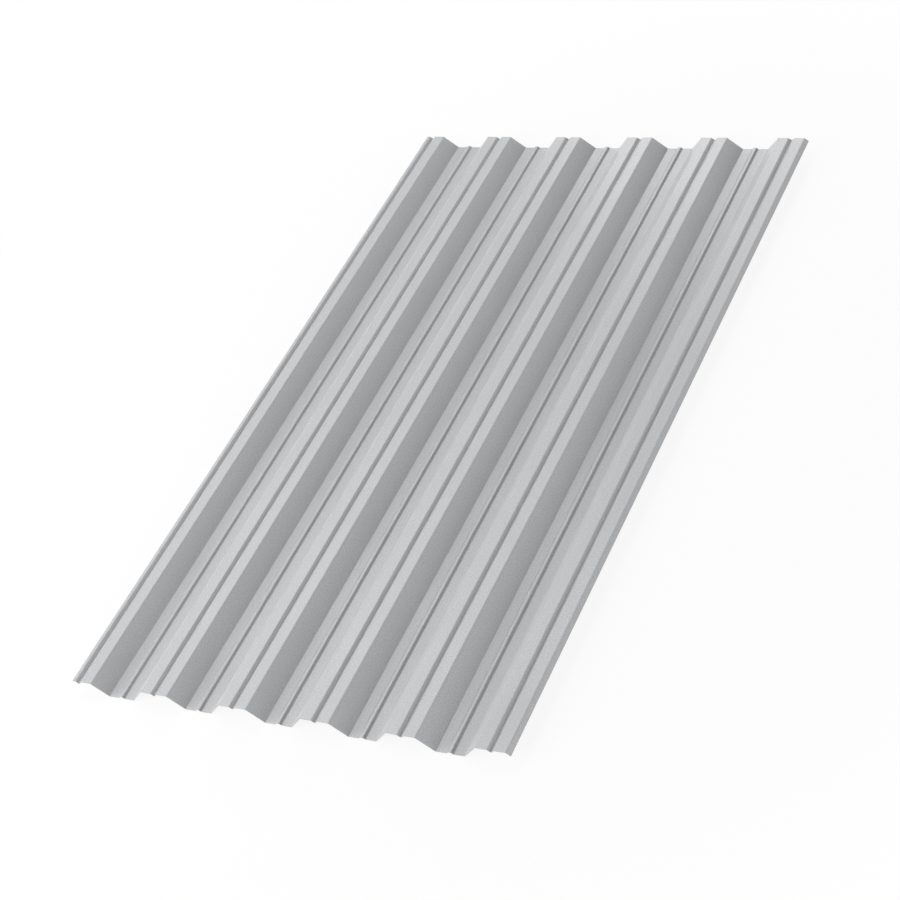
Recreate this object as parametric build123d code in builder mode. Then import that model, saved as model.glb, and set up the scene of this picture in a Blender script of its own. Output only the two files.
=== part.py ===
import os
from math import hypot

from build123d import *

# Roll-formed steel cladding sheet with trapezoidal ribs, lying with its valleys down. X runs across
# the ribs, Y along them and Z up. The origin is on the floor, under the middle of the sheet.

# The sheet, in millimetres
sheet_length = 1865.0
thickness = 0.7
depth = 35.0  # from the underside of the valleys to the top of the ribs
pitches = 5  # ribs that one sheet adds to a wall or roof

# One pitch of the profile, between the sharp corners of the steel's middle line
rib_top = 67.0
valley_flat = 65.0
web_run = 34.0  # how far a web leans out on its way down

# The groove pressed down into each rib top
groove_width = 15.5
groove_floor = 2.5
groove_depth = 5.8

# The bead pressed up out of each valley
bead_width = 15.5
bead_crown = 6.0
bead_height = 4.3

# The two side edges
underlap_flat = 7.05  # what is left of the first rib top, outside its groove
overlap_lip = 8.5  # how far the last web leans out before it is cut off

# Inside radii of the bends
web_bend = 3.0
groove_bend = 1.5
bead_bend = 1.5

# Levels of the middle line
valley_level = thickness / 2
rib_level = depth - thickness / 2
web_rise = rib_level - valley_level

# Where the ribs stand, so that the sheet is centred on X = 0
pitch = rib_top + valley_flat + 2 * web_run
lip_corner = thickness / 2 * web_rise / hypot(web_run, web_rise)  # the square-cut edge leans out
left_reach = groove_width / 2 + underlap_flat
right_reach = rib_top / 2 + overlap_lip + lip_corner
sheet_width = left_reach + pitches * pitch + right_reach
ribs = [left_reach - sheet_width / 2 + i * pitch for i in range(pitches + 1)]


# Corners of the groove in the rib that is centred at x, each with its inside radius
def groove(x):
    floor_level = rib_level - groove_depth
    return [
        (x - groove_width / 2, rib_level, groove_bend),
        (x - groove_floor / 2, floor_level, groove_bend),
        (x + groove_floor / 2, floor_level, groove_bend),
        (x + groove_width / 2, rib_level, groove_bend),
    ]


# Corners of the valley that is centred at x, from one rib's top to the next
def valley(x):
    foot = valley_flat / 2
    shoulder = foot + web_run
    crown_level = valley_level + bead_height
    return [
        (x - shoulder, rib_level, web_bend),
        (x - foot, valley_level, web_bend),
        (x - bead_width / 2, valley_level, bead_bend),
        (x - bead_crown / 2, crown_level, bead_bend),
        (x + bead_crown / 2, crown_level, bead_bend),
        (x + bead_width / 2, valley_level, bead_bend),
        (x + foot, valley_level, web_bend),
        (x + shoulder, rib_level, web_bend),
    ]


# The route of the steel's middle line, from the underlap edge to the overlap edge
corners = groove(ribs[0])
for rib in ribs[1:]:
    corners += valley(rib - pitch / 2) + groove(rib)
last_shoulder = ribs[-1] + rib_top / 2
corners.append((last_shoulder, rib_level, web_bend))

underlap_edge = (ribs[0] - left_reach, rib_level)
overlap_edge = (last_shoulder + overlap_lip, rib_level - overlap_lip * web_rise / web_run)
route = [underlap_edge] + [(x, z) for x, z, _ in corners] + [overlap_edge]
bends = [inside + thickness / 2 for _, _, inside in corners]

# The sheet is that line at its thickness, run along the ribs
with BuildPart() as profiled_sheet:
    with BuildSketch(Plane.XZ):
        with BuildLine():
            FilletPolyline(route, radius=bends)
        trace(line_width=thickness)
    extrude(amount=sheet_length / 2, both=True)

profiled_sheet.part.label = "profiled_sheet"

os.makedirs("parts", exist_ok=True)
export_step(profiled_sheet.part, "parts/profiled_sheet.step")
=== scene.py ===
from math import atan2, ceil, cos, hypot, radians, sin, tan

import bpy
import numpy as np
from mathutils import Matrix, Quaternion, Vector, noise


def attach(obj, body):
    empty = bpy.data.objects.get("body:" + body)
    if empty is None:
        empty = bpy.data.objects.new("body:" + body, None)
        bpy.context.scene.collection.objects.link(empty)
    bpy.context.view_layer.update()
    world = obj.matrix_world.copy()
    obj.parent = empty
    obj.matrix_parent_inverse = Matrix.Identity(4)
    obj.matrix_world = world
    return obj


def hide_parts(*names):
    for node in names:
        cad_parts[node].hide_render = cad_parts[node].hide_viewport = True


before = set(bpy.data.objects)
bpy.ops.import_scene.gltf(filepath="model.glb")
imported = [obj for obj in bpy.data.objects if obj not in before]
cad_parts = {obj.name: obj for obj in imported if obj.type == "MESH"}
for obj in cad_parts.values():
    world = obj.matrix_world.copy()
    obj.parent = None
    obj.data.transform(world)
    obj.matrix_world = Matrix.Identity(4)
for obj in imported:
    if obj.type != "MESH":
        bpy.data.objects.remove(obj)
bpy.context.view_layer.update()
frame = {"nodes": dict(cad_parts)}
scene = bpy.context.scene
mm = 0.001
print("frame loaded:", ", ".join(frame["nodes"]))


# sRGB hex to the linear colour that the sockets take
def linear(code):
    channels = [int(code[i:i + 2], 16) / 255 for i in (1, 3, 5)]
    return [c / 12.92 if c <= 0.04045 else ((c + 0.055) / 1.055) ** 2.4 for c in channels] + [1.0]


# Adds a node with its settings, fills its sockets and links those that are given another node's output
def addNode(tree, kind, sockets=None, **settings):
    node = tree.nodes.new("ShaderNode" + kind)
    for name, value in settings.items():
        setattr(node, name, value)
    for name, value in (sockets or {}).items():
        if isinstance(value, bpy.types.NodeSocket):
            tree.links.new(value, node.inputs[name])
        else:
            node.inputs[name].default_value = value
    return node


def newMaterial(name):
    material = bpy.data.materials.new(name)
    material.use_nodes = True
    material.node_tree.nodes.clear()
    return material, material.node_tree


def addObject(name, data):
    made = bpy.data.objects.new(name, data)
    scene.collection.objects.link(made)
    return made


# Camera: where the photograph was taken from. It looks down over the near right corner, turned on its own
# axis.

viewpoint = {
    "place": (2.39039, -2.93830, 3.05237),
    "aim": (0.04980, -0.17527, 0.03500),
    "roll": -23.454,  # degrees
    "lens": 85.827,  # mm, on the sensor below
    "sensor": 36.0,
}

cameraData = bpy.data.cameras.new("camera")
cameraData.sensor_width = viewpoint["sensor"]
cameraData.lens = viewpoint["lens"]
camera = addObject("camera", cameraData)
camera.location = viewpoint["place"]
sight = Vector(viewpoint["aim"]) - Vector(viewpoint["place"])
camera.rotation_mode = "QUATERNION"
turned = Quaternion((0, 0, 1), radians(viewpoint["roll"]))
camera.rotation_quaternion = sight.to_track_quat("-Z", "Y") @ turned
scene.camera = camera
print("camera placed")


# Sheet: one strip of steel rolled into trapezoidal ribs, lying with its valleys down. Sizes are in mm.

sheetForm = {
    "length": 1865.0,
    "thickness": 0.7,
    "depth": 35.0,
    "pitches": 5,
    "ribTop": 67.0,
    "valleyFlat": 65.0,
    "webRun": 34.0,
    "grooveWidth": 15.5,
    "grooveFloor": 2.5,
    "grooveDepth": 5.8,
    "beadWidth": 15.5,
    "beadCrown": 6.0,
    "beadHeight": 4.3,
    "underlapFlat": 7.05,
    "overlapLip": 8.5,
    "webBend": 3.0,
    "grooveBend": 1.5,
    "beadBend": 1.5,
    "arcStep": 14.0,  # degrees of bend to a facet
    "flatStep": 9.0,  # longest facet across a flat
    "bendBorder": 1.5,  # how far past a bend its stretch marks, and the painted highlight in them, reach
    "stations": 64,  # rows of vertices along the ribs
    "bow": 0.10,  # how far the rolls leave a wide flat out of true, and less on a narrow one
    "bowSpan": 30.0,  # narrowest flat with the whole bow
    "bowLength": 240.0,  # from one swell of the bow to the next, along the ribs
    "bowWidth": 80.0,  # the same across the strip
    "bowDraw": 7.3,  # picks one of the noise's patterns
    "levelShare": 0.99,  # least upward share of a normal on a level flat
    "edgeBreak": 0.08,  # what shears and slitters round off a cut edge
}


# Corners of the steel's middle line from the underlap edge to the overlap edge, each with its inside radius
def profileCorners(form):
    half = form["thickness"] / 2
    low, high = half, form["depth"] - half
    rise = high - low
    pitch = form["ribTop"] + form["valleyFlat"] + 2 * form["webRun"]
    lipCorner = half * rise / hypot(form["webRun"], rise)
    leftReach = form["grooveWidth"] / 2 + form["underlapFlat"]
    rightReach = form["ribTop"] / 2 + form["overlapLip"] + lipCorner
    firstRib = leftReach - (leftReach + form["pitches"] * pitch + rightReach) / 2
    corners = [(firstRib - leftReach, high, 0)]
    for i in range(form["pitches"] + 1):
        x = firstRib + i * pitch
        grooveEdge, grooveFoot = form["grooveWidth"] / 2, form["grooveFloor"] / 2
        for offset, level in ((-grooveEdge, 0), (-grooveFoot, 1), (grooveFoot, 1), (grooveEdge, 0)):
            corners.append((x + offset, high - level * form["grooveDepth"], form["grooveBend"]))
        if i == form["pitches"]:
            break
        x += pitch / 2
        foot, beadFoot, crown = form["valleyFlat"] / 2, form["beadWidth"] / 2, form["beadCrown"] / 2
        corners.append((x - foot - form["webRun"], high, form["webBend"]))
        corners.append((x - foot, low, form["webBend"]))
        for offset, level in ((-beadFoot, 0), (-crown, 1), (crown, 1), (beadFoot, 0)):
            corners.append((x + offset, low + level * form["beadHeight"], form["beadBend"]))
        corners.append((x + foot, low, form["webBend"]))
        corners.append((x + foot + form["webRun"], high, form["webBend"]))
    shoulder = x + form["ribTop"] / 2
    corners.append((shoulder, high, form["webBend"]))
    lip = form["overlapLip"]
    corners.append((shoulder + lip, high - lip * rise / form["webRun"], 0))
    return corners


# Follows the corners round their bends. Each sample is its place, its upward normal, how much it is bent
# (above 0 where the upper face is stretched) and how much of the bow it can take, most in the middle of a
# flat.
def profileSamples(form):
    corners = [(np.array(c[:2]), c[2] + form["thickness"] / 2 if c[2] else 0) for c in profileCorners(form)]
    samples = []

    def addFlat(start, end):
        run = end - start
        span = np.linalg.norm(run)
        ahead = run / span
        border = form["bendBorder"] if span > 3 * form["bendBorder"] else 0
        inner = np.linspace(border, span - border, max(1, ceil((span - 2 * border) / form["flatStep"])) + 1)
        give = 4 * min(1, span / form["bowSpan"]) ** 2
        for s in inner if border else inner[1:-1]:
            upward = np.array([-ahead[1], ahead[0]])
            samples.append((start + ahead * s, upward, 0.0, give * s * (span - s) / span**2))

    last = corners[0][0]
    ahead = corners[1][0] - last
    ahead = ahead / np.linalg.norm(ahead)
    samples.append((last, np.array([-ahead[1], ahead[0]]), 0.0, 0.0))
    for (before, _), (corner, bend), (after, _) in zip(corners, corners[1:], corners[2:]):
        ahead = (corner - before) / np.linalg.norm(corner - before)
        onward = (after - corner) / np.linalg.norm(after - corner)
        turn = atan2(ahead[0] * onward[1] - ahead[1] * onward[0], ahead @ onward)
        way = 1 if turn > 0 else -1
        start = corner - ahead * bend * tan(abs(turn) / 2)
        centre = start + way * bend * np.array([-ahead[1], ahead[0]])
        addFlat(last, start)
        facets = ceil(abs(turn) / radians(form["arcStep"]))
        for k in range(facets + 1):
            c, s = cos(turn * k / facets), sin(turn * k / facets)
            along = np.array([c * ahead[0] - s * ahead[1], s * ahead[0] + c * ahead[1]])
            normal = np.array([-along[1], along[0]])
            samples.append((centre - way * bend * normal, normal, -float(way), 0.0))
        last = samples[-1][0]
    addFlat(last, corners[-1][0])
    samples.append((corners[-1][0], samples[-1][1], 0.0, 0.0))
    return samples


# Places in the unrolled map that a bake uses: upper face in the left half, lower face in the right half, and
# the cut edges in narrow strips beside them
mapForm = {
    "faceLeft": 0.02,
    "faceWidth": 0.46,
    "faceFoot": 0.03,
    "faceHeight": 0.94,
    "lowerFace": 0.5,  # how far right of the upper face the lower one is
    "edgeStrip": 0.01,
    "underlapEdge": 0.004,
    "overlapEdge": 0.485,
    "nearEnd": 0.005,
    "farEnd": 0.98,
}


# Builds the sheet as one closed mesh: upper face, lower face and the cut edges round them. It carries the
# place across the flat strip, the stretch of each bend and the way through the steel, for the finishes.
def buildSheet(form):
    samples = profileSamples(form)
    place = np.array([s[0] for s in samples])
    normal = np.array([s[1] for s in samples])
    bent = np.array([s[2] for s in samples])
    give = np.array([s[3] for s in samples])
    count = len(samples)
    girth = np.r_[0, np.cumsum(np.linalg.norm(np.diff(place, axis=0), axis=1))]
    half = form["thickness"] / 2
    # A flat bows away from the box: up in the valleys, down in the ribs, either way in the webs
    level = np.abs(normal[:, 1]) > form["levelShare"]
    inward = np.where(level, np.where(place[:, 1] < form["depth"] / 2, 1.0, -1.0), 0.0)

    ends = form["length"] / 2
    inner = np.linspace(-ends, ends, form["stations"])[1:-1]
    rows = np.r_[-ends, form["edgeBreak"] - ends, inner, ends - form["edgeBreak"], ends]
    vertices = []
    for r, y in enumerate(rows):
        drift = np.array([
            noise.noise(Vector((g / form["bowWidth"], y / form["bowLength"], form["bowDraw"]))) for g in girth
        ])
        bow = form["bow"] * give * np.where(level, inward * (0.5 + 0.5 * drift), drift)
        cutBack = form["edgeBreak"] if r in (0, len(rows) - 1) else 0
        for side in (1, -1):
            at = place + normal * (bow + side * (half - cutBack))[:, None]
            vertices += [(x * mm, y * mm, z * mm) for x, z in at]

    def unrolled(row, side, i):
        left = mapForm["faceLeft"] + mapForm["lowerFace"] * side
        across = left + mapForm["faceWidth"] * girth[i] / girth[-1]
        return across, mapForm["faceFoot"] + mapForm["faceHeight"] * (rows[row] + ends) / form["length"]

    faces, finish, unwrap = [], [], []

    # Corners are (row, side, sample); a cut edge is given its own place across or along the map
    def addFace(corners, material, across=None, along=None):
        faces.append([row * 2 * count + side * count + i for row, side, i in corners])
        finish.append(material)
        for row, side, i in corners:
            u, v = unrolled(row, 0 if material == 2 else side, i)
            u = across + mapForm["edgeStrip"] * side if across is not None else u
            v = along + mapForm["edgeStrip"] * side if along is not None else v
            unwrap.extend((u, v))

    lastRow, last = len(rows) - 1, count - 1
    for r in range(lastRow):
        for i in range(count - 1):
            addFace([(r, 0, i), (r, 0, i + 1), (r + 1, 0, i + 1), (r + 1, 0, i)], 0)
            addFace([(r, 1, i), (r + 1, 1, i), (r + 1, 1, i + 1), (r, 1, i + 1)], 1)
        addFace([(r, 0, 0), (r + 1, 0, 0), (r + 1, 1, 0), (r, 1, 0)], 2, across=mapForm["underlapEdge"])
        addFace([(r, 1, last), (r + 1, 1, last), (r + 1, 0, last), (r, 0, last)], 2,
                across=mapForm["overlapEdge"])
    for i in range(count - 1):
        addFace([(0, 0, i), (0, 1, i), (0, 1, i + 1), (0, 0, i + 1)], 2, along=mapForm["nearEnd"])
        addFace([(lastRow, 0, i + 1), (lastRow, 1, i + 1), (lastRow, 1, i), (lastRow, 0, i)], 2,
                along=mapForm["farEnd"])

    mesh = bpy.data.meshes.new("profiled_sheet_steel")
    mesh.from_pydata(vertices, [], faces)
    mesh.polygons.foreach_set("material_index", finish)
    mesh.polygons.foreach_set("use_smooth", [True] * len(faces))
    mesh.uv_layers.new(name="OFBake").data.foreach_set("uv", unwrap)
    carried = {
        "girth": np.concatenate([girth, girth]) * mm,
        "stretched": np.concatenate([np.clip(bent, 0, 1), np.clip(-bent, 0, 1)]),
        "through": np.repeat([1.0, 0.0], count),
    }
    for name, values in carried.items():
        layer = mesh.attributes.new(name, "FLOAT", "POINT")
        layer.data.foreach_set("value", np.tile(values, len(rows)).astype(np.float32))
    mesh.update()
    mesh.set_sharp_from_angle(angle=radians(30))
    made = addObject("profiled_sheet_steel", mesh)
    shading = made.modifiers.new("flats_stay_flat", "WEIGHTED_NORMAL")
    shading.keep_sharp = True
    return made, girth[-1]


sheet, stripWidth = buildSheet(sheetForm)
print("sheet built:", len(sheet.data.polygons), "faces from a strip", round(stripWidth), "mm wide")


# Place on the flat strip before it was rolled: X across it, Y along it
def stripPlace(tree):
    across = addNode(tree, "Attribute", attribute_name="girth").outputs["Fac"]
    place = addNode(tree, "SeparateXYZ", {"Vector": addNode(tree, "TexCoord").outputs["Object"]})
    return addNode(tree, "CombineXYZ", {"X": across, "Y": place.outputs["Y"]}).outputs["Vector"]


# A noise whose marks are so many mm across the strip and along it, from 0 below the first level to 1 above
# the second
def marks(tree, place, width, length, levels=(0.3, 0.7), detail=2.0, offset=0.0):
    scaled = addNode(tree, "VectorMath", {0: place, 1: (1 / (width * mm), 1 / (length * mm), 1.0),
                                          2: (offset, offset, offset)}, operation="MULTIPLY_ADD")
    pattern = addNode(tree, "TexNoise", {"Vector": scaled.outputs["Vector"], "Scale": 1.0, "Detail": detail})
    return addNode(tree, "MapRange", {"Value": pattern.outputs["Fac"], "From Min": levels[0],
                                      "From Max": levels[1]}).outputs["Result"]


# 1 at the cut edges of the sheet, falling to 0 at the given reach in mm
def nearCutEdge(tree, place, reach):
    split = addNode(tree, "SeparateXYZ", {"Vector": place}).outputs
    alongY = addNode(tree, "Math", {0: split["Y"]}, operation="ABSOLUTE").outputs[0]
    halfLength = sheetForm["length"] / 2 * mm
    toEnd = addNode(tree, "Math", {0: halfLength, 1: alongY}, operation="SUBTRACT").outputs[0]
    toOverlap = addNode(tree, "Math", {0: stripWidth * mm, 1: split["X"]}, operation="SUBTRACT").outputs[0]
    toSide = addNode(tree, "Math", {0: split["X"], 1: toOverlap}, operation="MINIMUM").outputs[0]
    gap = addNode(tree, "Math", {0: toEnd, 1: toSide}, operation="MINIMUM").outputs[0]
    return addNode(tree, "MapRange", {"Value": gap, "From Max": reach * mm, "To Min": 1.0,
                                      "To Max": 0.0}).outputs["Result"]


# Mixes a second colour, given as hex or as a socket, over the first as far as the mask and share say
def over(tree, first, second, mask, share=1.0):
    part = addNode(tree, "Math", {0: mask, 1: share}, operation="MULTIPLY").outputs[0]
    first, second = (linear(c) if isinstance(c, str) else c for c in (first, second))
    return addNode(tree, "MixRGB", {"Fac": part, "Color1": first, "Color2": second}).outputs["Color"]


# 1 where a coat has flaked off beside a cut, else 0
def flakedPlaces(tree, place, finish):
    edge = nearCutEdge(tree, place, finish["flakeReach"])
    chips = marks(tree, place, finish["flakeSize"], finish["flakeSize"], levels=(0.25, 0.75), offset=8.0)
    reached = addNode(tree, "Math", {0: edge, 1: chips}, operation="MULTIPLY").outputs[0]
    first, whole = finish["flakeLevels"]
    return addNode(tree, "MapRange", {"Value": reached, "From Min": first,
                                      "From Max": whole}).outputs["Result"]


# Sum of masks, each with its weight, on top of a start value
def weighted(tree, start, parts):
    total = start
    for mask, weight in parts:
        total = addNode(tree, "Math", {0: mask, 1: weight, 2: total}, operation="MULTIPLY_ADD").outputs[0]
    return total


# Ends a material: its relief in mm, its surface and its output
def surfaced(tree, colour, roughness, height, metallic=0.0):
    relief = addNode(tree, "Bump", {"Height": height, "Strength": 1.0, "Distance": mm}).outputs["Normal"]
    surface = addNode(tree, "BsdfPrincipled", {"Base Color": colour, "Metallic": metallic,
                                               "Roughness": roughness, "Normal": relief})
    addNode(tree, "OutputMaterial", {"Surface": surface.outputs["BSDF"]})


# Top coat: light grey polyester coil paint, rolled onto the zinc-coated strip and oven cured before the strip
# was profiled. It cured smooth and satin, with wide soft sheens, a fine grain and faint lines along the strip.
# The paint pales in hairlines where a bend stretched it, drawn paler than that so the convex bends also carry
# a painted highlight, and has flaked a little along the cuts.

topCoat = {
    "darkGrain": "#aaabad",
    "paleGrain": "#cbccce",
    "grainSize": 3.4,  # mm. Real pigment is under 0.1 mm, drawn coarser to show
    "thinFilm": "#b4b5b6",
    "filmSize": (140.0, 224.0),
    "filmShare": 0.35,
    "rollLine": "#c4c5c7",
    "rollLineSize": (3.2, 900.0),
    "rollLineShare": 0.20,
    # paler paint on stretched bends: partly real whitening of the paint, partly a painted highlight along the
    # convex bends
    "strainedAndHighlight": "#d3d4d5",
    "strainedHighlightSize": (0.35, 40.0),
    "strainedHighlightShare": 0.18,
    "scratch": "#d0d1d2",
    "scratchSize": (0.6, 85.0),
    "scratchShare": 0.6,
    "handledSize": (190.0, 260.0),  # patches that have scratches
    "primer": "#a8a9a7",
    "flakeReach": 0.7,
    "flakeSize": 1.4,
    "flakeLevels": (0.30, 0.36),
    "roughness": 0.28,
    "peelSize": 1.5,
    "peelHeight": 0.007,
    "rollLineHeight": 0.005,
    "scratchDepth": 0.004,
    "flakeDepth": 0.020,
}


def polyesterTopCoat(finish):
    material, tree = newMaterial("polyester_top_coat")
    place = stripPlace(tree)
    grain = marks(tree, place, finish["grainSize"], finish["grainSize"], levels=(0.25, 0.75))
    film = marks(tree, place, *finish["filmSize"], detail=4.0)
    rollLines = marks(tree, place, *finish["rollLineSize"], levels=(0.45, 0.7), detail=3.0)
    stretched = addNode(tree, "Attribute", attribute_name="stretched").outputs["Fac"]
    hairlines = marks(tree, place, *finish["strainedHighlightSize"], levels=(0.40, 0.62), detail=3.0, offset=3.0)
    strainedAndHighlight = addNode(tree, "Math", {0: stretched, 1: hairlines}, operation="MULTIPLY").outputs[0]
    scratchLines = marks(tree, place, *finish["scratchSize"], levels=(0.70, 0.73), detail=1.0, offset=11.0)
    handled = marks(tree, place, *finish["handledSize"], levels=(0.50, 0.60), offset=5.0)
    scratches = addNode(tree, "Math", {0: scratchLines, 1: handled}, operation="MULTIPLY").outputs[0]
    flaked = flakedPlaces(tree, place, finish)

    colour = over(tree, finish["darkGrain"], finish["paleGrain"], grain)
    colour = over(tree, colour, finish["thinFilm"], film, finish["filmShare"])
    colour = over(tree, colour, finish["rollLine"], rollLines, finish["rollLineShare"])
    # Paler hairlines on the stretched bends: partly whitened paint, partly a painted highlight along the
    # convex bends
    colour = over(tree, colour, finish["strainedAndHighlight"], strainedAndHighlight, finish["strainedHighlightShare"])
    colour = over(tree, colour, finish["scratch"], scratches, finish["scratchShare"])
    colour = over(tree, colour, finish["primer"], flaked)
    roughness = weighted(tree, finish["roughness"], [(film, 0.05), (rollLines, 0.04), (strainedAndHighlight, 0.12),
                                                     (scratches, 0.15), (flaked, 0.25)])
    peel = marks(tree, place, finish["peelSize"], finish["peelSize"], levels=(0.0, 1.0), detail=1.0,
                 offset=2.0)
    height = weighted(tree, 0.0, [(peel, finish["peelHeight"]), (rollLines, finish["rollLineHeight"]),
                                  (scratches, -finish["scratchDepth"]), (flaked, -finish["flakeDepth"])])
    surfaced(tree, colour, roughness, height)
    return material


# Back coat: one thin layer of epoxy primer, rolled on and cured with the top coat. It is matt and a little
# warmer, shows the coating roller's lines and lets the zinc's crystals through faintly. Sheets slid in a
# stack have rubbed it.

backCoat = {
    "thick": "#b1b0ad",
    "thin": "#a09f9d",
    "rollerSize": (1.6, 320.0),
    "coverSize": (90.0, 170.0),
    "coverShare": 0.5,
    "zinc": "#a3a7a9",
    "crystalSize": 6.0,
    "crystalShare": 0.35,
    "rubbed": "#c0bfbd",
    "rubSize": (1.1, 150.0),
    "rubPatchSize": (120.0, 400.0),
    "rubShare": 0.7,
    "bare": "#8f9294",
    "flakeReach": 1.6,
    "flakeSize": 2.2,
    "flakeLevels": (0.30, 0.36),
    "flakeDepth": 0.015,
    "roughness": 0.52,
    "rollerHeight": 0.006,
    "grainSize": 0.9,
    "grainHeight": 0.004,
}


def epoxyBackCoat(finish):
    material, tree = newMaterial("epoxy_back_coat")
    place = stripPlace(tree)
    roller = marks(tree, place, *finish["rollerSize"], levels=(0.32, 0.68), detail=4.0)
    cover = marks(tree, place, *finish["coverSize"], detail=4.0, offset=4.0)
    crystals = addNode(tree, "TexVoronoi", {"Vector": place, "Scale": 1 / (finish["crystalSize"] * mm),
                                            "Randomness": 1.0}, voronoi_dimensions="2D")
    crystal = addNode(tree, "SeparateXYZ", {"Vector": crystals.outputs["Color"]}).outputs["X"]
    rubLines = marks(tree, place, *finish["rubSize"], levels=(0.62, 0.70), offset=9.0)
    rubPatch = marks(tree, place, *finish["rubPatchSize"], levels=(0.45, 0.62), offset=6.0)
    rubbed = addNode(tree, "Math", {0: rubLines, 1: rubPatch}, operation="MULTIPLY").outputs[0]
    grain = marks(tree, place, finish["grainSize"], finish["grainSize"], levels=(0.2, 0.8))
    flaked = flakedPlaces(tree, place, finish)

    colour = over(tree, finish["thin"], finish["thick"], roller)
    colour = over(tree, colour, finish["thick"], cover, finish["coverShare"])
    colour = over(tree, colour, finish["zinc"], crystal, finish["crystalShare"])
    colour = over(tree, colour, finish["rubbed"], rubbed, finish["rubShare"])
    colour = over(tree, colour, finish["bare"], flaked)
    roughness = weighted(tree, finish["roughness"], [(roller, 0.06), (crystal, -0.05), (rubbed, -0.10),
                                                     (flaked, -0.08)])
    height = weighted(tree, 0.0, [(roller, finish["rollerHeight"]), (grain, finish["grainHeight"]),
                                  (flaked, -finish["flakeDepth"])])
    surfaced(tree, colour, roughness, height)
    return material


# Cut edge: bare low-carbon steel, sheared across the ends and slit along the sides. The blade left a bright
# burnished band with fine marks across it, the rest broke off duller, and the zinc is a pale line on each
# face.

cutEdge = {
    "burnished": "#b4b2af",
    "broken": "#94918d",
    "zinc": "#c3c5c7",
    "rust": "#8b705a",
    "burnishedShare": 0.40,  # of the thickness
    "zincShare": 0.06,  # drawn thicker than its 0.02 mm to show
    "bladeMarkSize": 0.4,
    "bladeMarkShare": 0.35,
    "rustSize": 9.0,
    "rustShare": 0.25,
    "rustHeight": 0.004,
    "roughness": 0.36,  # of the burnished band
    "burnishedSmoother": 0.16,  # how much rougher the broken part is
    "bladeMarkHeight": 0.006,
}


def shearedSteel(finish):
    material, tree = newMaterial("sheared_steel_edge")
    place = stripPlace(tree)
    through = addNode(tree, "Attribute", attribute_name="through").outputs["Fac"]
    wander = marks(tree, place, 2.5, 2.5, levels=(0.0, 1.0), offset=1.0)
    level = weighted(tree, through, [(wander, 0.3)])
    bandFoot = 1.15 - finish["burnishedShare"]
    burnished = addNode(tree, "MapRange", {"Value": level, "From Min": bandFoot - 0.04,
                                           "From Max": bandFoot + 0.04}).outputs["Result"]
    fromMiddle = addNode(tree, "Math", {0: through, 1: 0.5}, operation="SUBTRACT").outputs[0]
    fromMiddle = addNode(tree, "Math", {0: fromMiddle}, operation="ABSOLUTE").outputs[0]
    zinc = addNode(tree, "MapRange", {"Value": fromMiddle, "From Min": 0.48 - finish["zincShare"],
                                      "From Max": 0.5 - finish["zincShare"]}).outputs["Result"]
    bladeMarks = marks(tree, place, finish["bladeMarkSize"], finish["bladeMarkSize"], detail=3.0)
    specks = marks(tree, place, finish["rustSize"], finish["rustSize"], levels=(0.56, 0.70), detail=5.0,
                   offset=7.0)

    colour = over(tree, finish["broken"], finish["burnished"], burnished)
    colour = over(tree, colour, finish["broken"], bladeMarks, finish["bladeMarkShare"])
    colour = over(tree, colour, finish["rust"], specks, finish["rustShare"])
    colour = over(tree, colour, finish["zinc"], zinc)
    smoother = finish["burnishedSmoother"]
    roughness = weighted(tree, finish["roughness"] + smoother, [(burnished, -smoother), (bladeMarks, 0.08),
                                                                (specks, 0.2)])
    height = weighted(tree, 0.0, [(bladeMarks, finish["bladeMarkHeight"]), (specks, finish["rustHeight"])])
    surfaced(tree, colour, roughness, height, metallic=1.0)
    return material


for material in (polyesterTopCoat(topCoat), epoxyBackCoat(backCoat), shearedSteel(cutEdge)):
    sheet.data.materials.append(material)
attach(sheet, "root")
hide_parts("profiled_sheet")
print("finishes made:", ", ".join(m.name for m in sheet.data.materials))


# Floor: a pale studio sweep. The camera sees it mostly as plain white, with a share left for the sheet's
# shadow, which runs out to plain white away from the sheet.

floorForm = {
    "size": 40.0,
    "colour": "#fafafa",
    "whiteShare": 0.90,
    "shadowReach": (1.0, 1.8),  # m from the middle, where that share begins to rise and where it is all white
}


# 1 for the rays that show a surface as a background: straight from the camera, in a gloss or through a glass
def backgroundRays(tree):
    light = addNode(tree, "LightPath").outputs
    seen = addNode(tree, "Math", {0: light["Is Camera Ray"], 1: light["Is Glossy Ray"]}, operation="MAXIMUM")
    through = light["Is Transmission Ray"]
    return addNode(tree, "Math", {0: seen.outputs[0], 1: through}, operation="MAXIMUM").outputs[0]


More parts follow.
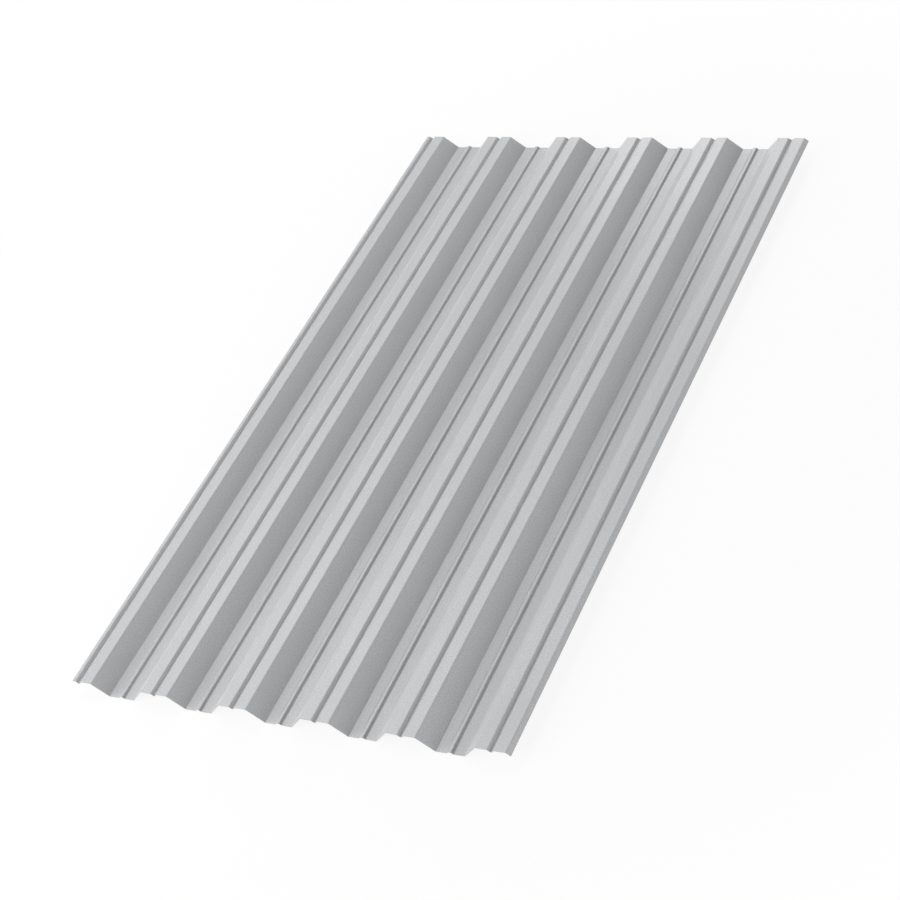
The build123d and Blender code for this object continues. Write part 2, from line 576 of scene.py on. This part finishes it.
def buildFloor(form):
    half = form["size"] / 2
    mesh = bpy.data.meshes.new("studio_floor")
    corners = [(-half, -half, 0), (half, -half, 0), (half, half, 0), (-half, half, 0)]
    mesh.from_pydata(corners, [], [(0, 1, 2, 3)])
    floor = addObject("studio_floor", mesh)
    material, tree = newMaterial("pale_floor")
    place = addNode(tree, "TexCoord").outputs["Object"]
    away = addNode(tree, "VectorMath", {0: place}, operation="LENGTH").outputs["Value"]
    near, far = form["shadowReach"]
    share = addNode(tree, "MapRange", {"Value": away, "From Min": near, "From Max": far,
                                       "To Min": form["whiteShare"], "To Max": 1.0}).outputs["Result"]
    white = addNode(tree, "Math", {0: backgroundRays(tree), 1: share}, operation="MULTIPLY").outputs[0]
    lit = addNode(tree, "BsdfDiffuse", {"Color": linear(form["colour"])})
    plain = addNode(tree, "Emission", {"Color": (1, 1, 1, 1), "Strength": 1.0})
    mixed = addNode(tree, "MixShader", {0: white, 1: lit.outputs[0], 2: plain.outputs[0]})
    addNode(tree, "OutputMaterial", {"Surface": mixed.outputs[0]})
    mesh.materials.append(material)


buildFloor(floorForm)
print("floor laid")


# Light: soft studio panels round the sheet and a faint dome. Azimuths are from +X towards +Y, in degrees,
# distances and sizes in m, powers in W. The powers give the flats near both ends about the photograph's
# brightness.

dome = {"strength": 0.045, "colour": "#ffffff"}
panels = {
    "far_low": {"azimuth": 105, "elevation": 22, "distance": 4.5, "size": 1.8, "power": 53},
    "far_middle": {"azimuth": 135, "elevation": 35, "distance": 4.5, "size": 1.8, "power": 12},
    "far_high": {"azimuth": 135, "elevation": 56, "distance": 3.8, "size": 1.8, "power": 27},
    "left_high": {"azimuth": 160, "elevation": 50, "distance": 4.5, "size": 1.8, "power": 24},
    "near_left": {"azimuth": 210, "elevation": 18, "distance": 4.5, "size": 2.4, "power": 145},
    "near": {"azimuth": 250, "elevation": 28, "distance": 3.2, "size": 1.8, "power": 31},
    "right": {"azimuth": 0, "elevation": 18, "distance": 4.5, "size": 2.4, "power": 99},
}

world = bpy.data.worlds.new("studio")
world.use_nodes = True
world.node_tree.nodes.clear()
scene.world = world


def buildWorld(tree, form):
    lit = addNode(tree, "Background", {"Color": linear(form["colour"]), "Strength": form["strength"]})
    plain = addNode(tree, "Background", {"Color": (1, 1, 1, 1), "Strength": 1.0})
    mixed = addNode(tree, "MixShader", {0: backgroundRays(tree), 1: lit.outputs[0], 2: plain.outputs[0]})
    addNode(tree, "OutputWorld", {"Surface": mixed.outputs[0]})


def addPanel(name, form):
    data = bpy.data.lights.new(name, "AREA")
    data.shape = "SQUARE"
    data.size = form["size"]
    data.energy = form["power"]
    lamp = addObject(name, data)
    a, e = radians(form["azimuth"]), radians(form["elevation"])
    lamp.location = Vector((cos(a) * cos(e), sin(a) * cos(e), sin(e))) * form["distance"]
    lamp.rotation_mode = "QUATERNION"
    lamp.rotation_quaternion = (-lamp.location).to_track_quat("-Z", "Y")


buildWorld(world.node_tree, dome)
for name, form in panels.items():
    addPanel(name, form)
scene.view_settings.view_transform = "Standard"
print("lights set")
